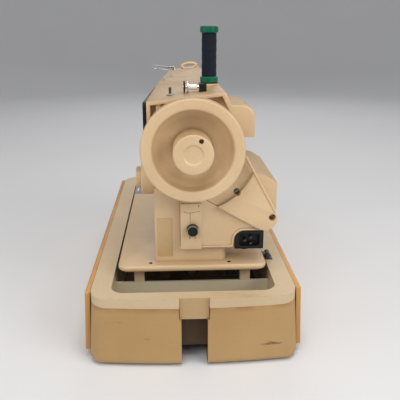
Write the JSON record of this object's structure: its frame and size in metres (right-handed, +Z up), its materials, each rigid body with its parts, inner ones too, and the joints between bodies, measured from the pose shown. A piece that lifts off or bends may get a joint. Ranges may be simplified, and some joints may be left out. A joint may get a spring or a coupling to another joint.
{
  "type": "domestic sewing machine in case base",
  "caption": "Flatbed sewing machine with handwheel, belt guard, reel of thread and lamp hood, tilting on hinges in the open base of its case.",
  "frame": {"origin": "centre of the base footprint, on the floor", "axes": "+X to the handwheel end, +Y to the back, +Z up"},
  "size_m": [0.5168, 0.2536, 0.3705],
  "materials": {
    "cream_paint": "satin, slightly yellowed",
    "cream_plastic": "fine matt",
    "pale_plastic": "satin",
    "aged_plastic": "yellowed and scuffed",
    "amber_panel": "aged",
    "black_plastic": "satin",
    "rubber": "matt",
    "chrome": "polished",
    "steel": "machined",
    "dark_steel": "dark",
    "brass": "dull",
    "green_plastic": "gloss",
    "thread": "wound thread",
    "label": "yellowed",
    "white_plastic": "gloss",
    "lamp_glass": "frosted"
  },
  "bodies": {
    "base": {"base_shell": "aged_plastic", "rim_tray": "pale_plastic", "front_side_panel": "amber_panel", "rear_side_panel": "amber_panel", "rubber_feet": "rubber", "hinge_brackets": "dark_steel"},
    "machine": {"hinge_arms": "dark_steel", "bed": "cream_paint", "bed_feet": "rubber", "needle_plate": "chrome", "arm_casting": "cream_paint", "top_cover": "cream_plastic", "face_cover": "cream_plastic", "front_panel": "black_plastic", "belt_guard": "cream_plastic", "motor_cover": "cream_plastic", "end_cover": "cream_plastic", "power_inlet": "black_plastic", "inlet_pins": "steel", "rating_plate": "label", "guard_screws": "brass", "lamp_housing": "cream_plastic", "lamp_bulb": "lamp_glass", "spool_pin": "steel", "top_eyelet": "cream_plastic", "thread_guides": "chrome", "winder_block": "black_plastic", "winder_stop": "dark_steel", "shaft_bushes": "brass", "motor_body": "dark_steel", "drive_belt": "rubber", "cog_belt": "rubber", "bobbin_case": "steel"},
    "slide_plate": {"slide_plate": "chrome"},
    "feed_dog": {"feed_dog": "steel"},
    "handwheel": {"handwheel": "cream_plastic", "main_shaft": "steel", "upper_cog": "dark_steel"},
    "clutch": {"clutch_knob": "cream_plastic", "clutch_screw": "dark_steel"},
    "motor_rotor": {"motor_shaft": "steel", "motor_pulley": "dark_steel"},
    "lower_drive": {"lower_cog": "dark_steel", "lower_shaft": "steel", "hook": "steel"},
    "bobbin": {"bobbin": "dark_steel"},
    "take_up": {"take_up_lever": "chrome"},
    "needle_bar": {"needle_bar": "steel", "needle": "steel"},
    "presser": {"presser_bar": "steel", "presser_foot": "chrome"},
    "presser_lever": {"presser_lever": "cream_plastic"},
    "tension_dial": {"tension_dial": "black_plastic"},
    "stitch_dial": {"stitch_dial": "cream_plastic"},
    "feed_knob": {"feed_knob": "dark_steel"},
    "pattern_slider": {"pattern_slider": "black_plastic"},
    "width_slider": {"width_slider": "black_plastic"},
    "reel": {"thread_spool": "green_plastic", "spool_thread": "thread"},
    "winder": {"winder_spindle": "white_plastic"}
  },
  "joints": [
    {"name": "machine_tilt", "type": "hinge", "parent": "base", "child": "machine", "pos_m": [0, 0.098, 0.0905], "axis": [-1, 0, 0], "range_deg": [0, 70]},
    {"name": "handwheel_spin", "type": "hinge", "parent": "machine", "child": "handwheel", "pos_m": [0.2, 0, 0.243], "axis": [1, 0, 0], "continuous": true},
    {"name": "clutch_turn", "type": "hinge", "parent": "handwheel", "child": "clutch", "pos_m": [0.22, 0, 0.243], "axis": [1, 0, 0], "range_deg": [0, 60]},
    {"name": "motor_spin", "type": "hinge", "parent": "machine", "child": "motor_rotor", "pos_m": [0.12, 0.07, 0.17], "axis": [1, 0, 0], "continuous": true},
    {"name": "lower_shaft_spin", "type": "hinge", "parent": "machine", "child": "lower_drive", "pos_m": [0, 0, 0.07], "axis": [1, 0, 0], "continuous": true},
    {"name": "bobbin_spin", "type": "hinge", "parent": "machine", "child": "bobbin", "pos_m": [-0.12, 0, 0.07], "axis": [1, 0, 0], "continuous": true},
    {"name": "take_up_swing", "type": "hinge", "parent": "machine", "child": "take_up", "pos_m": [-0.15, -0.008, 0.255], "axis": [1, 0, 0], "range_deg": [0, 50]},
    {"name": "needle_bar_slide", "type": "slide", "parent": "machine", "child": "needle_bar", "axis": [0, 0, 1], "range_m": [-0.026, 0]},
    {"name": "presser_lever_lift", "type": "hinge", "parent": "machine", "child": "presser_lever", "pos_m": [-0.15, 0.038, 0.2], "axis": [0, -1, 0], "range_deg": [0, 80]},
    {"name": "presser_bar_slide", "type": "slide", "parent": "machine", "child": "presser", "axis": [0, 0, 1], "range_m": [0, 0.006]},
    {"name": "slide_plate_slide", "type": "slide", "parent": "machine", "child": "slide_plate", "axis": [0, -1, 0], "range_m": [0, 0.03]},
    {"name": "feed_dog_slide", "type": "slide", "parent": "machine", "child": "feed_dog", "axis": [0, 1, 0], "range_m": [-0.002, 0.002]},
    {"name": "tension_dial_turn", "type": "hinge", "parent": "machine", "child": "tension_dial", "pos_m": [-0.118, -0.04, 0.24], "axis": [0, 1, 0], "range_deg": [-135, 135]},
    {"name": "stitch_dial_turn", "type": "hinge", "parent": "machine", "child": "stitch_dial", "pos_m": [0.14, -0.05, 0.193], "axis": [0, 1, 0], "range_deg": [-135, 135]},
    {"name": "feed_knob_turn", "type": "hinge", "parent": "machine", "child": "feed_knob", "pos_m": [0.2, 0, 0.145], "axis": [1, 0, 0], "range_deg": [-90, 90]},
    {"name": "pattern_slide", "type": "slide", "parent": "machine", "child": "pattern_slider", "axis": [0.9987, -0.0506, 0], "range_m": [-0.026, 0.006]},
    {"name": "width_slide", "type": "slide", "parent": "machine", "child": "width_slider", "axis": [0.9987, -0.0506, 0], "range_m": [-0.026, 0.006]},
    {"name": "reel_spin", "type": "hinge", "parent": "machine", "child": "reel", "pos_m": [0.1, 0.0245, 0.303], "axis": [0, 0, 1], "continuous": true},
    {"name": "winder_spin", "type": "hinge", "parent": "machine", "child": "winder", "pos_m": [0.155, 0, 0.3037], "axis": [0, 1, 0], "continuous": true}
  ],
  "couplings": [
    {"joint": "motor_spin", "follows": "handwheel_spin", "ratio": 4.7143},
    {"joint": "lower_shaft_spin", "follows": "handwheel_spin", "ratio": 2},
    {"joint": "presser_lever_lift", "follows": "presser_bar_slide", "rad_per_m": 232.6}
  ]
}
